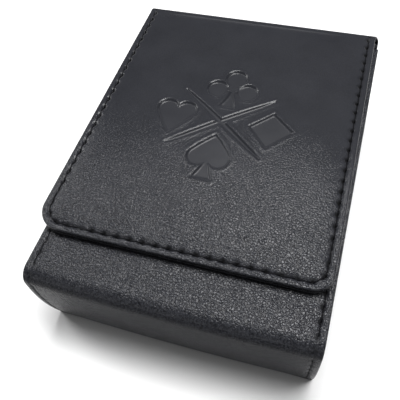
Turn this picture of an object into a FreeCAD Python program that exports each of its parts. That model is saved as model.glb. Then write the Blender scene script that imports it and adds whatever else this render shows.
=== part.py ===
import FreeCAD, Part
import math
import os

# Playing card box with a drawer, in millimetres.
#
# A leather-covered board sleeve lies on its back. Its near end is closed and its far end
# is the mouth. A drawer that holds one deck slides out of the mouth, and a padded flap,
# sewn to the drawer's front, folds over the top of the sleeve, where magnets hold it.
#
# Frame: +X right, +Y from the closed end to the mouth, +Z up. The origin is on the table,
# under the middle of the sleeve's width and half way along the whole box.

Vector = FreeCAD.Vector

# ---- Driving dimensions -------------------------------------------------------------

# The whole box
BODY_WIDTH = 76.0            # sleeve, across its stitched hems
OVERALL_LENGTH = 104.4       # closed end to the outer face of the drawer's front
BODY_HEIGHT = 28.4           # sleeve, table to its top face

# Sheet stock
LEATHER = 0.8
BOARD = 1.5
LINING = 0.4
HEM_OVERHANG = 0.3           # the hems of the sleeve's strip stand past its side faces

# Closed end of the sleeve, bowed outwards
END_BOW_RADIUS = 80.0
END_BOW_HEIGHT = 17.0        # height at which the bow reaches furthest
END_TOP_RADIUS = 4.0
END_LIP = 0.6                # flat lip of the moulded end past its bend

# Drawer
WALL = 1.4
DRAWER_SIDE_GAP = 0.35
DRAWER_FLOOR_GAP = 0.2
DRAWER_TOP_GAP = 0.5
DRAWER_BACK_GAP = 0.5
DRAWER_FRONT_GAP = 0.2
NOTCH_RADIUS = 11.0          # finger notches in the tray's side walls
NOTCH_LEAD = 1.5             # rounding where a notch runs out into the wall's top
STOP_DROP = 1.1              # felt stop, below the sleeve's ceiling
STOP_LENGTH = 6.0
STOP_WIDTH = 28.0
STOP_SETBACK = 4.1           # felt stop, from the end of the sleeve's boards

# Front of the drawer
FRONT_BOARD = 1.6
FRONT_TURN_IN = 0.8          # leather turned round the front board's edges
FRONT_EDGE_RADIUS = 0.5
FRONT_FLOOR_GAP = 0.5
FRONT_SIDE_SETBACK = 0.4     # each side, from the sleeve's hem

# Flap
FLAP_LENGTH = 90.6           # near edge to the outer face of the drawer's front
FLAP_LEFT_OVERHANG = 2.0     # the flap is sewn on a little left of the middle
FLAP_RIGHT_SETBACK = 1.6
FLAP_GAP = 0.3
FLAP_HEM = 2.5               # thickness at the stitched hem
FLAP_CORNER_RADIUS = 5.7
FLAP_EDGE_RADIUS = 0.4
FLAP_BOARD = 1.2
FLAP_BOARD_INSET = 3.2
PAD_CORNER_RADIUS = 1.4      # corners of the board and of the padding
CROWN_RISE = 0.9
CROWN_INSET = 2.9            # from the flap's edge to the foot of the padding
CROWN_RUN = 6.6              # width over which the padding rises
CROWN_STEPS = 5              # bands of the rise
HINGE_RADIUS = 1.4           # outside of the leather's bend over the far edge
HINGE_GAP = 0.2

# Magnets
MAGNET_RADIUS = 5.0
MAGNET_THICKNESS = 1.0
MAGNET_CLEARANCE = 0.1
MAGNET_SPREAD = 20.0         # each side of the flap's middle
MAGNET_SETBACK = 11.0        # from the flap's near edge

# Pressed ornament: crossed bars and the four suits
PRESS_DEPTH = 0.4
ORNAMENT_SETBACK = 43.8      # from the flap's near edge to where the bars cross
ORNAMENT_OFFSET = 0.2        # from the flap's middle to where the bars cross
BAR_REACH_X = 13.5
BAR_REACH_Y = 10.6
BAR_WIDTH = 1.4
HEART_X = -14.0
HEART_TIP_Y = -7.0
HEART_WIDTH = 11.7
HEART_HEIGHT = 12.2
HEART_LOBE = 3.05
DIAMOND_X = 14.7
DIAMOND_WIDTH = 13.2
DIAMOND_HEIGHT = 13.4
SPADE_TIP_Y = -4.9
SPADE_WIDTH = 12.2
SPADE_HEIGHT = 11.4
SPADE_LOBE = 3.2
SPADE_FOOT_DROP = 4.2        # foot of the stem, below the lobes
SPADE_FOOT_WIDTH = 5.8
CLUB_LOBE = 3.1
CLUB_TOP_Y = 17.3
CLUB_SIDE_X = 4.55
CLUB_SIDE_Y = 12.3
CLUB_CORE = 2.0
CLUB_FOOT_Y = 5.8
CLUB_FOOT_WIDTH = 4.9
STEM_NECK = 0.9              # narrowest width of a stem
STEM_RUN_IN = 1.6            # how far a stem runs into its suit
STEM_HOLLOW = 0.3            # half width of a stem at mid height, as a share of its spread
LOBE_CREST_ANGLE = 50.0      # point of a lobe, in degrees, that its arc passes through

# ---- Levels worked out from them ----------------------------------------------------

near_y = -OVERALL_LENGTH / 2
far_y = OVERALL_LENGTH / 2
hem_x = BODY_WIDTH / 2
side_skin_x = hem_x - HEM_OVERHANG
front_x = hem_x - FRONT_SIDE_SETBACK
side_board_x = side_skin_x - LEATHER
side_inner_x = side_board_x - BOARD
cavity_x = side_inner_x - LINING
wall_stack = LEATHER + BOARD
cavity_inset = wall_stack + LINING
ceiling_z = BODY_HEIGHT - cavity_inset

front_thickness = LINING + FRONT_BOARD + LEATHER
front_inner_y = far_y - front_thickness
mouth_y = front_inner_y - DRAWER_FRONT_GAP
board_end_y = mouth_y - LEATHER
end_split_y = near_y + END_TOP_RADIUS + END_LIP

tray_x = cavity_x - DRAWER_SIDE_GAP
tray_floor_z = cavity_inset + DRAWER_FLOOR_GAP
tray_top_z = ceiling_z - DRAWER_TOP_GAP
wall_foot_z = tray_floor_z + WALL

flap_under_z = BODY_HEIGHT + FLAP_GAP
flap_top_z = flap_under_z + FLAP_HEM
flap_near_y = far_y - FLAP_LENGTH
flap_far_y = far_y - HINGE_RADIUS - HINGE_GAP
flap_left_x = -hem_x - FLAP_LEFT_OVERHANG
flap_right_x = hem_x - FLAP_RIGHT_SETBACK
flap_middle_x = (flap_left_x + flap_right_x) / 2
flap_board_z = flap_under_z + LINING
flap_board_top_z = flap_board_z + FLAP_BOARD
crown_z = flap_top_z + CROWN_RISE
magnet_y = flap_near_y + MAGNET_SETBACK
magnet_xs = (flap_middle_x - MAGNET_SPREAD, flap_middle_x + MAGNET_SPREAD)


def end_face_y(inset, z):
    """Y of the bowed end at height z, that far inside the outer skin."""
    radius = END_BOW_RADIUS - inset
    return near_y + END_BOW_RADIUS - math.sqrt(radius ** 2 - (z - END_BOW_HEIGHT) ** 2)


tray_back_y = end_face_y(cavity_inset, tray_floor_z) + DRAWER_BACK_GAP

# ---- Shape helpers ------------------------------------------------------------------


def block(x0, x1, y0, y1, z0, z1):
    return Part.makeBox(x1 - x0, y1 - y0, z1 - z0, Vector(x0, y0, z0))


def line(a, b):
    return Part.LineSegment(Vector(*a), Vector(*b)).toShape()


def arc(a, middle, b):
    return Part.Arc(Vector(*a), Vector(*middle), Vector(*b)).toShape()


def prism(edges, height):
    """Solid above a closed outline drawn in a level plane."""
    return Part.Face(Part.Wire(edges)).extrude(Vector(0, 0, height))


def rounded_outline(x0, x1, y0, y1, near_radius, far_radius, z):
    """Outline of a panel, with its near and far corners rounded."""
    near_dip = near_radius * (1 - math.sqrt(0.5))
    far_dip = far_radius * (1 - math.sqrt(0.5))
    edges = [
        line((x0 + near_radius, y0, z), (x1 - near_radius, y0, z)),
        arc((x1 - near_radius, y0, z), (x1 - near_dip, y0 + near_dip, z), (x1, y0 + near_radius, z)),
        line((x1, y0 + near_radius, z), (x1, y1 - far_radius, z)),
    ]
    if far_radius > 0:
        edges.append(arc((x1, y1 - far_radius, z), (x1 - far_dip, y1 - far_dip, z), (x1 - far_radius, y1, z)))
    edges.append(line((x1 - far_radius, y1, z), (x0 + far_radius, y1, z)))
    if far_radius > 0:
        edges.append(arc((x0 + far_radius, y1, z), (x0 + far_dip, y1 - far_dip, z), (x0, y1 - far_radius, z)))
    edges.append(line((x0, y1 - far_radius, z), (x0, y0 + near_radius, z)))
    edges.append(arc((x0, y0 + near_radius, z), (x0 + near_dip, y0 + near_dip, z), (x0 + near_radius, y0, z)))
    return edges


def fillet_where(shape, radius, wanted):
    """Round the edges for which wanted(middle point) is true."""
    edges = [edge for edge in shape.Edges if wanted(edge.valueAt(
        (edge.FirstParameter + edge.LastParameter) / 2))]
    return shape.makeFillet(radius, edges)


def near_to(value, target):
    return abs(value - target) < 1e-6


def mirrored(shape):
    return shape.mirror(Vector(0, 0, 0), Vector(1, 0, 0))


# ---- Sleeve -------------------------------------------------------------------------


def sleeve_core(inset, half_width, end_y):
    """The sleeve's form, drawn in by inset at its base, top and bowed end."""
    low = inset
    high = BODY_HEIGHT - inset
    middle = (low + high) / 2
    points = [(-half_width, end_face_y(inset, z), z) for z in (low, middle, high)]
    edges = [
        arc(*points),
        line(points[2], (-half_width, end_y, high)),
        line((-half_width, end_y, high), (-half_width, end_y, low)),
        line((-half_width, end_y, low), points[0]),
    ]
    core = Part.Face(Part.Wire(edges)).extrude(Vector(2 * half_width, 0, 0))
    top_edge_y = end_face_y(inset, high)
    return fillet_where(core, END_TOP_RADIUS - inset, lambda p: near_to(p.y, top_edge_y) and near_to(p.z, high))


def board_shell():
    """Bottom, bowed end and top of the sleeve, one board thick."""
    outer = sleeve_core(LEATHER, side_inner_x, board_end_y)
    return outer.cut(sleeve_core(wall_stack, side_inner_x + 1, board_end_y + 1))


def shell_part(y0, y1, z0, z1):
    return board_shell().common(block(-hem_x, hem_x, y0, y1, z0, z1))


def near_end_board():
    return shell_part(near_y, end_split_y, 0, BODY_HEIGHT)


def bottom_board():
    return shell_part(end_split_y, far_y, 0, BODY_HEIGHT / 2)


def top_board():
    board = shell_part(end_split_y, far_y, BODY_HEIGHT / 2, BODY_HEIGHT)
    depth = MAGNET_THICKNESS
    for x in magnet_xs:
        seat = Vector(x, magnet_y, BODY_HEIGHT - LEATHER - depth)
        board = board.cut(Part.makeCylinder(MAGNET_RADIUS + MAGNET_CLEARANCE, depth, seat))
    return board


def right_side_board():
    core = sleeve_core(LEATHER, side_board_x, board_end_y)
    return core.common(block(side_inner_x, side_board_x, near_y, far_y, 0, BODY_HEIGHT))


def sleeve_leather():
    """Strip over the top and down the bowed end, turned over the top board at the mouth."""
    skin = sleeve_core(0, hem_x, mouth_y).cut(sleeve_core(LEATHER, hem_x + 1, mouth_y + 1))
    skin = skin.cut(block(-hem_x - 1, hem_x + 1, near_y - 1, far_y, -1, LEATHER))
    lip = block(-side_board_x, side_board_x, board_end_y, mouth_y, BODY_HEIGHT - wall_stack, BODY_HEIGHT)
    return skin.fuse(lip).removeSplitter()


def base_leather():
    """Sheet under the sleeve, turned up over the bottom board at the mouth."""
    near_edge_y = end_face_y(0, LEATHER)
    sheet = block(-side_skin_x, side_skin_x, near_edge_y, mouth_y, 0, LEATHER)
    lip = block(-side_inner_x, side_inner_x, board_end_y, mouth_y, 0, wall_stack)
    return sheet.fuse(lip).removeSplitter()


def right_side_leather():
    """Facing of the side board, turned over its end at the mouth."""
    core = sleeve_core(LEATHER, side_skin_x, mouth_y)
    facing = core.common(block(side_board_x, side_skin_x, near_y, far_y, 0, BODY_HEIGHT))
    lip = block(side_inner_x, side_skin_x, board_end_y, mouth_y, LEATHER, BODY_HEIGHT - wall_stack)
    return facing.fuse(lip).removeSplitter()


def sleeve_lining():
    outer = sleeve_core(wall_stack, side_inner_x, board_end_y)
    return outer.cut(sleeve_core(cavity_inset, cavity_x, board_end_y + 1))


def sleeve_magnets():
    z = BODY_HEIGHT - LEATHER - MAGNET_THICKNESS
    return Part.Compound([Part.makeCylinder(MAGNET_RADIUS, MAGNET_THICKNESS, Vector(x, magnet_y, z))
                          for x in magnet_xs])


def drawer_stop():
    """Felt strip on the sleeve's ceiling, which the tray's back wall meets."""
    y1 = board_end_y - STOP_SETBACK
    return block(-STOP_WIDTH / 2, STOP_WIDTH / 2, y1 - STOP_LENGTH, y1, ceiling_z - STOP_DROP, ceiling_z)


# ---- Drawer -------------------------------------------------------------------------


def notch_cutter():
    """Finger notches through both side walls, with rounded shoulders."""
    middle_y = (tray_back_y + front_inner_y) / 2
    reach = tray_x + 1
    cutter = Part.makeCylinder(NOTCH_RADIUS, 2 * reach, Vector(-reach, middle_y, tray_top_z), Vector(1, 0, 0))
    span = NOTCH_RADIUS + NOTCH_LEAD
    shoulder = block(-reach, reach, middle_y - span, middle_y + span, tray_top_z - NOTCH_LEAD, tray_top_z + 1)
    for side in (-1, 1):
        seat = Vector(-reach, middle_y + side * span, tray_top_z - NOTCH_LEAD)
        shoulder = shoulder.cut(Part.makeCylinder(NOTCH_LEAD, 2 * reach, seat, Vector(1, 0, 0)))
    return cutter.fuse(shoulder)


def drawer_bottom_board():
    return block(-tray_x, tray_x, tray_back_y, front_inner_y, tray_floor_z, wall_foot_z)


def drawer_right_wall():
    side = block(tray_x - WALL, tray_x, tray_back_y, front_inner_y, wall_foot_z, tray_top_z)
    return side.cut(notch_cutter())


def drawer_cross_wall(y0):
    reach = tray_x - WALL
    return block(-reach, reach, y0, y0 + WALL, wall_foot_z, tray_top_z)


def drawer_lining():
    """Inside of the tray: floor and four walls."""
    x = tray_x - WALL
    y0 = tray_back_y + WALL
    y1 = front_inner_y - WALL
    outer = block(-x, x, y0, y1, wall_foot_z, tray_top_z)
    inner = block(-x + LINING, x - LINING, y0 + LINING, y1 - LINING, wall_foot_z + LINING, tray_top_z + 1)
    return outer.cut(inner).cut(notch_cutter())


def front_block(inset, y0, y1, top_z):
    """Slab of the drawer's front, drawn in by inset at its sides and foot."""
    return block(-front_x + inset, front_x - inset, y0, y1, FRONT_FLOOR_GAP + inset, top_z)


def front_board():
    y0 = front_inner_y + LINING
    return front_block(FRONT_TURN_IN, y0, y0 + FRONT_BOARD, BODY_HEIGHT)


def front_lining():
    return front_block(FRONT_TURN_IN, front_inner_y, front_inner_y + LINING, BODY_HEIGHT)


def front_leather():
    """Facing of the drawer's front, turned round its edges and bent over towards the flap."""
    bend_z = flap_top_z - HINGE_RADIUS
    facing = front_block(0, front_inner_y, far_y, BODY_HEIGHT)
    facing = fillet_where(facing, FRONT_EDGE_RADIUS, lambda p: near_to(p.y, far_y)
                          and (near_to(p.z, FRONT_FLOOR_GAP) or near_to(abs(p.x), front_x)))
    facing = facing.cut(front_block(FRONT_TURN_IN, front_inner_y - 1, far_y - LEATHER, BODY_HEIGHT + 1))
    bend_x = min(front_x, flap_right_x)
    riser = block(-front_x, bend_x, far_y - LEATHER, far_y, BODY_HEIGHT, bend_z)
    seat = Vector(-front_x, far_y - HINGE_RADIUS, bend_z)
    length = bend_x + front_x
    bend = Part.makeCylinder(HINGE_RADIUS, length, seat, Vector(1, 0, 0))
    bend = bend.cut(Part.makeCylinder(HINGE_RADIUS - LEATHER, length, seat, Vector(1, 0, 0)))
    bend = bend.common(block(-front_x, bend_x, seat.y, far_y, bend_z, flap_top_z))
    return facing.fuse([riser, bend]).removeSplitter()


# ---- Ornament -----------------------------------------------------------------------


def tangent_point(tip_y, centre_x, centre_y, radius):
    """Outer point at which a line from (0, tip_y) touches a circle."""
    away = math.hypot(centre_x, centre_y - tip_y)
    to_centre = math.atan2(centre_y - tip_y, centre_x)
    turn = math.asin(radius / away)
    run = math.sqrt(away ** 2 - radius ** 2)
    angle = to_centre - math.copysign(turn, centre_y - tip_y)
    return run * math.cos(angle), tip_y + run * math.sin(angle)


def heart(tip_y, width, height, lobe):
    """Heart outline at x = 0; a negative height turns it upside down, as for a spade."""
    way = math.copysign(1, height)
    lobe_x = width / 2 - lobe
    lobe_y = tip_y + height - way * lobe
    cleft_y = lobe_y + way * math.sqrt(lobe ** 2 - lobe_x ** 2)
    touch_x, touch_y = tangent_point(tip_y, lobe_x, lobe_y, lobe)
    over = math.radians(LOBE_CREST_ANGLE)
    crest = (lobe_x + lobe * math.cos(over), lobe_y + way * lobe * math.sin(over))
    return [
        line((0, tip_y, 0), (touch_x, touch_y, 0)),
        arc((touch_x, touch_y, 0), (crest[0], crest[1], 0), (0, cleft_y, 0)),
        arc((0, cleft_y, 0), (-crest[0], crest[1], 0), (-touch_x, touch_y, 0)),
        line((-touch_x, touch_y, 0), (0, tip_y, 0)),
    ]


def stem(neck_y, foot_y, foot_width):
    """Stem of a club or spade, with hollow sides that spread to its foot."""
    neck = STEM_NECK / 2
    foot = foot_width / 2
    waist_x = neck + (foot - neck) * STEM_HOLLOW
    waist_y = (neck_y + foot_y) / 2
    return [
        line((-neck, neck_y, 0), (neck, neck_y, 0)),
        arc((neck, neck_y, 0), (waist_x, waist_y, 0), (foot, foot_y, 0)),
        line((foot, foot_y, 0), (-foot, foot_y, 0)),
        arc((-foot, foot_y, 0), (-waist_x, waist_y, 0), (-neck, neck_y, 0)),
    ]


def bar(lean):
    """One of the crossed bars, tapered from its middle to its ends."""
    angle = math.atan2(lean * BAR_REACH_Y, BAR_REACH_X)
    half_length = math.hypot(BAR_REACH_X, BAR_REACH_Y)
    end = (half_length * math.cos(angle), half_length * math.sin(angle), 0)
    start = (-end[0], -end[1], 0)
    side = (-math.sin(angle) * BAR_WIDTH / 2, math.cos(angle) * BAR_WIDTH / 2, 0)
    other_side = (-side[0], -side[1], 0)
    return [arc(start, side, end), arc(end, other_side, start)]


def diamond():
    x = DIAMOND_WIDTH / 2
    y = DIAMOND_HEIGHT / 2
    corners = [(0, y, 0), (x, 0, 0), (0, -y, 0), (-x, 0, 0)]
    return [line(corners[i], corners[(i + 1) % 4]) for i in range(4)]


def ornament_press():
    """Everything that is pressed into the flap, standing on z = 0 about the crossing."""
    tall = PRESS_DEPTH + 1
    heart_shape = prism(heart(HEART_TIP_Y, HEART_WIDTH, HEART_HEIGHT, HEART_LOBE), tall)
    heart_shape.translate(Vector(HEART_X, 0, 0))
    diamond_shape = prism(diamond(), tall)
    diamond_shape.translate(Vector(DIAMOND_X, 0, 0))
    spade_base_y = SPADE_TIP_Y - SPADE_HEIGHT
    spade_neck_y = spade_base_y + SPADE_LOBE + STEM_RUN_IN
    club_lobes = [Part.makeCylinder(CLUB_LOBE, tall, Vector(x, y, 0))
                  for x, y in ((0, CLUB_TOP_Y), (-CLUB_SIDE_X, CLUB_SIDE_Y), (CLUB_SIDE_X, CLUB_SIDE_Y))]
    core_y = (CLUB_TOP_Y + 2 * CLUB_SIDE_Y) / 3
    return [
        heart_shape,
        diamond_shape,
        prism(bar(1), tall),
        prism(bar(-1), tall),
        prism(heart(SPADE_TIP_Y, SPADE_WIDTH, -SPADE_HEIGHT, SPADE_LOBE), tall),
        prism(stem(spade_neck_y, spade_base_y - SPADE_FOOT_DROP, SPADE_FOOT_WIDTH), tall),
        Part.makeCylinder(CLUB_CORE, tall, Vector(0, core_y, 0)),
        prism(stem(core_y, CLUB_FOOT_Y, CLUB_FOOT_WIDTH), tall),
    ] + club_lobes


# ---- Flap ---------------------------------------------------------------------------


def flap_outline(inset, z, far_radius):
    """Outline of the flap, drawn in by inset; its near corners stay rounded."""
    near_radius = max(FLAP_CORNER_RADIUS - inset, PAD_CORNER_RADIUS)
    return rounded_outline(flap_left_x + inset, flap_right_x - inset, flap_near_y + inset,
                           flap_far_y - inset, near_radius, far_radius, z)


def crown(foot_inset, foot_z, top_z):
    """Pillow form of the padding: steep at its foot, easing to a flat top."""
    wires = []
    for i in range(CROWN_STEPS + 1):
        turn = math.pi / 2 * i / CROWN_STEPS
        inset = foot_inset + CROWN_RUN * (1 - math.cos(turn))
        z = foot_z + (top_z - foot_z) * math.sin(turn)
        wires.append(Part.Wire(flap_outline(inset, z, PAD_CORNER_RADIUS)))
    return Part.makeLoft(wires, True, True)


def flap_foam():
    """Pad between the board and the leather."""
    foot_z = flap_top_z - LEATHER
    footing_outline = flap_outline(FLAP_BOARD_INSET, flap_board_top_z, PAD_CORNER_RADIUS)
    footing = prism(footing_outline, foot_z - flap_board_top_z)
    return footing.fuse(crown(FLAP_BOARD_INSET, foot_z, crown_z - LEATHER)).removeSplitter()


def flap_board():
    board = prism(flap_outline(FLAP_BOARD_INSET, flap_board_z, PAD_CORNER_RADIUS), FLAP_BOARD)
    for x in magnet_xs:
        seat = Vector(x, magnet_y, flap_board_z)
        board = board.cut(Part.makeCylinder(MAGNET_RADIUS + MAGNET_CLEARANCE, MAGNET_THICKNESS, seat))
    return board


def flap_magnets():
    return Part.Compound([Part.makeCylinder(MAGNET_RADIUS, MAGNET_THICKNESS, Vector(x, magnet_y, flap_board_z))
                          for x in magnet_xs])


def flap_lining():
    return prism(flap_outline(LEATHER, flap_under_z, 0), LINING)


def flap_leather():
    """Outer leather of the flap: rounded hem, padded crown and pressed ornament."""
    slab = prism(flap_outline(0, flap_under_z, 0), FLAP_HEM)
    slab = fillet_where(slab, FLAP_EDGE_RADIUS, lambda p: near_to(p.z, flap_top_z) and p.y < flap_far_y - 1e-3)
    skin = slab.fuse(crown(CROWN_INSET, flap_top_z, crown_z))
    board_depth = flap_board_top_z - flap_under_z
    board_room = prism(flap_outline(FLAP_BOARD_INSET, flap_under_z, PAD_CORNER_RADIUS), board_depth)
    skin = skin.cut([board_room, flap_foam(), flap_lining()])
    press = ornament_press()
    place = Vector(flap_middle_x + ORNAMENT_OFFSET, flap_near_y + ORNAMENT_SETBACK, crown_z - PRESS_DEPTH)
    for tool in press:
        tool.translate(place)
    return skin.cut(press)


# ---- Write each piece ---------------------------------------------------------------

parts = {
    "near_end_board": near_end_board(),
    "bottom_board": bottom_board(),
    "top_board": top_board(),
    "right_side_board": right_side_board(),
    "left_side_board": mirrored(right_side_board()),
    "sleeve_leather": sleeve_leather(),
    "base_leather": base_leather(),
    "right_side_leather": right_side_leather(),
    "left_side_leather": mirrored(right_side_leather()),
    "sleeve_lining": sleeve_lining(),
    "sleeve_magnets": sleeve_magnets(),
    "drawer_stop": drawer_stop(),
    "drawer_bottom_board": drawer_bottom_board(),
    "drawer_right_wall": drawer_right_wall(),
    "drawer_left_wall": mirrored(drawer_right_wall()),
    "drawer_back_wall": drawer_cross_wall(tray_back_y),
    "drawer_front_wall": drawer_cross_wall(front_inner_y - WALL),
    "drawer_lining": drawer_lining(),
    "front_board": front_board(),
    "front_lining": front_lining(),
    "front_leather": front_leather(),
    "flap_board": flap_board(),
    "flap_foam": flap_foam(),
    "flap_leather": flap_leather(),
    "flap_lining": flap_lining(),
    "flap_magnets": flap_magnets(),
}

os.makedirs("parts", exist_ok=True)
for node, shape in parts.items():
    shape.exportStep(os.path.join("parts", node + ".step"))
    print(node, len(shape.Solids), shape.isValid(), round(shape.Volume, 2))
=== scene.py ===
import math

import bpy
import numpy as np
from mathutils import Matrix, Vector


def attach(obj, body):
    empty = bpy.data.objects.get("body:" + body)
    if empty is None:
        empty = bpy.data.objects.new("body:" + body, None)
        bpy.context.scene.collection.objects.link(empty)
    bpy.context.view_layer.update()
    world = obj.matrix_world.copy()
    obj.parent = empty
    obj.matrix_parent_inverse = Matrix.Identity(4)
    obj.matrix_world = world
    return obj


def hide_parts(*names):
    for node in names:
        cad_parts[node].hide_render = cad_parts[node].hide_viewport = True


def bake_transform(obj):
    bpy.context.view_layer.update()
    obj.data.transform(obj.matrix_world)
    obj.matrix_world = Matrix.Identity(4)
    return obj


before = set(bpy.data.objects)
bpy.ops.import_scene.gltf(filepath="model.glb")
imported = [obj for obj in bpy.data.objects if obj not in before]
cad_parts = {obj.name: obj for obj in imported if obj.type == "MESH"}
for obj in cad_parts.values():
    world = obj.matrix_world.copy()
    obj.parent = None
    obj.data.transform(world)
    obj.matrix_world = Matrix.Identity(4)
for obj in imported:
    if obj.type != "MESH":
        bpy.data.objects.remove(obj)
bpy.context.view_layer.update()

# Leather-covered playing card box with a sliding tray and a padded, stitched flap.
# The working unit below is the millimetre; meshes are written in metres.
MM = 0.001

# ---- Sizes, as in the part's source ----

HEM_X = 38.0                 # half the sleeve's width over its hems
NEAR_Y = -52.2
FAR_Y = 52.2
TOP_Z = 28.4
LEATHER = 0.8
SUEDE = 0.4
BOW_RADIUS = 80.0            # closed end, seen from the side
BOW_HEIGHT = 17.0
BEND_RADIUS = 4.0            # top of the closed end
MOUTH_Y = 49.2
LIP_Z = 26.1                 # foot of the leather turned over the mouth
LIP_HALF = 36.9              # half its width, between the side leathers
END_STACK = 2.7              # leather, board and lining of the closed end
FLAP_X = -1.8                # middle of the flap, which is sewn on a little left
FLAP_HALF = 38.2
FLAP_NEAR_Y = -38.4
FLAP_TOP_Z = 31.2
FLAP_THICK = 2.5
FLAP_FAR_Y = 50.8            # where the bend over the far edge begins
HINGE_R = 1.4
CROWN = 0.9
ORNAMENT_X = -1.6            # where the pressed bars cross
ORNAMENT_Y = 5.4
FRONT_FOOT_Z = 0.5
FRONT_TOP_Z = 28.5
FRONT_THICK = 2.8
FRONT_HALF = 37.6            # half the width of the tray's front
TRAY_X = 34.65
TRAY_BACK_Y = -47.7
TRAY_FRONT_Y = 49.4
TRAY_FLOOR_Z = 4.3
TRAY_TOP_Z = 25.2
WALL = 1.4
NOTCH_R = 11.0
NOTCH_LEAD = 1.5

# ---- Sizes that only the photo gives ----

PLAN_BOW = 0.65              # the closed end's slight bow across its width
LEFT_CORNER_R = 7.2          # near corners of the flap
RIGHT_CORNER_R = 5.2
RUN_OUT = 0.9                # the flap's right edge, which is not quite square, at its near end
PITCH = 3.47                 # of the stitches
STITCH_INSET = 1.95          # of a seam, from the edge of its leather
GROOVE = 0.24                # depth of a seam
PRESS = 0.5                  # depth of the ornament
PRESS_LIP = 0.07             # height of the leather that it pushes up round itself

# Radius of the turned edge of each leather
FLAP_RIM = 0.4
HINGE_RIM = 0.3
FRONT_RIM = 0.7
STRIP_RIM = 0.35

FINE = 0.25                  # grid step where the ornament is pressed
BACKING_COLUMNS = 12         # columns of a plain inner face that no one sees closely

# ---- Mesh helpers ----


def smooth(x, a, b):
    t = np.clip((x - a) / (b - a), 0.0, 1.0)
    return t * t * (3.0 - 2.0 * t)


def new_object(name, data):
    piece = bpy.data.objects.new(name, data)
    bpy.context.scene.collection.objects.link(piece)
    return piece


class Builder:
    """Gathers grids of points into one mesh, with marks that the leather's shader reads."""

    def __init__(self):
        self.points, self.faces = [], []
        self.marks = {"pressed": [], "pierced": []}
        self.count = 0

    def grid(self, points, flip=False, wrap=False, **marks):
        """Add rows of points and the faces between them; returns the first point's number."""
        points = np.asarray(points, float)
        rows, cols = points.shape[:2]
        start = self.count
        for r in range(rows - 1):
            for c in range(cols if wrap else cols - 1):
                a = start + r * cols + c
                b = start + r * cols + (c + 1) % cols
                quad = (a, a + cols, b + cols, b)
                self.faces.append(quad[::-1] if flip else quad)
        self.points.append(points.reshape(-1, 3))
        for key, gathered in self.marks.items():
            gathered.append(np.broadcast_to(marks.get(key, 0.0), (rows, cols)).ravel())
        self.count += rows * cols
        return start

    def cap(self, ring, flip=False):
        self.faces.append(tuple(ring[::-1] if flip else ring))

    def build(self, name):
        mesh = bpy.data.meshes.new(name)
        mesh.from_pydata((np.concatenate(self.points) * MM).tolist(), [], self.faces)
        mesh.validate()
        mesh.shade_smooth()
        for key, gathered in self.marks.items():
            layer = mesh.attributes.new(key, "FLOAT", "POINT")
            layer.data.foreach_set("value", np.concatenate(gathered).astype(np.float32))
        return new_object(name, mesh)


# ---- Panels with a rolled rim and rounded corners ----

RIM = 12                     # stations from the underside round to the top of the rim
TOP_INSETS = [0.6, 0.95, 1.2, 1.45, 1.7, 1.95, 2.2, 2.45, 2.75, 3.1, 3.5, 4.0, 4.6, 5.3,
              6.1, 7.0, 8.0, 9.0, 10.2, 11.6, 13.2]


def rim_stations(rim, tops):
    """Insets of the lines that run round a panel's edge, from under it to its top."""
    turn = [math.radians(a) for a in (30.0, 60.0)]
    insets = [1.1, 0.7, 0.3, 0.08, 0.0, 0.0, 0.0, 0.0, 0.0]
    insets += [rim * (1 - math.cos(a)) for a in turn] + [rim]
    return insets + [t for t in tops if t > rim + 0.1]


def rim_drops(thick, rim, total):
    """Depth of each station below the top, for a thickness that may change along the rim."""
    thick = np.asarray(thick, float)
    fold = np.clip(thick - 1.2, 0.0, 1.3) / 1.3
    small = np.minimum(rim, 0.45 * thick)
    drops = [thick - 0.3 * fold, thick - 0.03 * fold, thick, thick - 0.1,
             thick - 0.12 - 0.2 * fold, 0.60 * thick, 0.53 * thick, 0.46 * thick,
             small, 0.5 * small, 0.134 * small, 0 * thick]
    drops += [0 * thick] * (total - RIM)
    return np.array(drops), fold


def monotone(insets, thick, rim):
    """A steadily rising measure along the stations, equal to the inset on top."""
    drops, _ = rim_drops(thick, rim, len(insets))
    measure = [0.0] * len(insets)
    measure[RIM - 1:] = insets[RIM - 1:]
    for k in range(RIM - 2, -1, -1):
        step = math.hypot(insets[k] - insets[k + 1], drops[k] - drops[k + 1])
        measure[k] = measure[k + 1] - max(0.05, step)
    return measure


def lines(low, high, insets, inner, high_rim=True):
    """Grid lines across a panel: (position, station, edge, way)."""
    out = [(low + d, k, low, 1) for k, d in enumerate(insets)]
    out += [(p, None, 0, 0) for p in inner]
    if high_rim:
        out += [(high - d, k, high, -1) for k, d in reversed(list(enumerate(insets)))]
    return out


def plan(x_lines, y_lines, insets, measure, radii):
    """Plan positions of a panel's grid, its lines rounded at the corners, and their stations."""
    count = len(insets)
    x, y = np.meshgrid([l[0] for l in x_lines], [l[0] for l in y_lines])
    station = np.full(x.shape, count)
    for j, (_, b, edge_y, way_y) in enumerate(y_lines):
        for i, (_, a, edge_x, way_x) in enumerate(x_lines):
            if a is None and b is None:
                continue
            k = min(count if a is None else a, count if b is None else b)
            station[j, i] = k
            if a is None or b is None or radii[way_x][k] < 1e-6:
                continue
            d, r, other = insets[k], radii[way_x][k], max(a, b)
            share = (measure[other] - measure[k]) / (d + r - measure[k])
            if share < 1.0:
                turn = (1.0 - share) * math.pi / 4
                along, across = d + r - r * math.sin(turn), d + r - r * math.cos(turn)
                dx, dy = (across, along) if a <= b else (along, across)
                x[j, i], y[j, i] = edge_x + way_x * dx, edge_y + way_y * dy
    return x, y, station


def corner_radii(insets, left, right, least, fade_from=8.0, fade_to=13.2):
    """Radius of each line at the left corners (way 1) and at the right ones (way -1)."""
    fade = [float(1 - smooth(d, fade_from, fade_to)) for d in insets]
    return {way: [max(outer - d, least) * f for d, f in zip(insets, fade)]
            for way, outer in ((1, left), (-1, right))}


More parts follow.
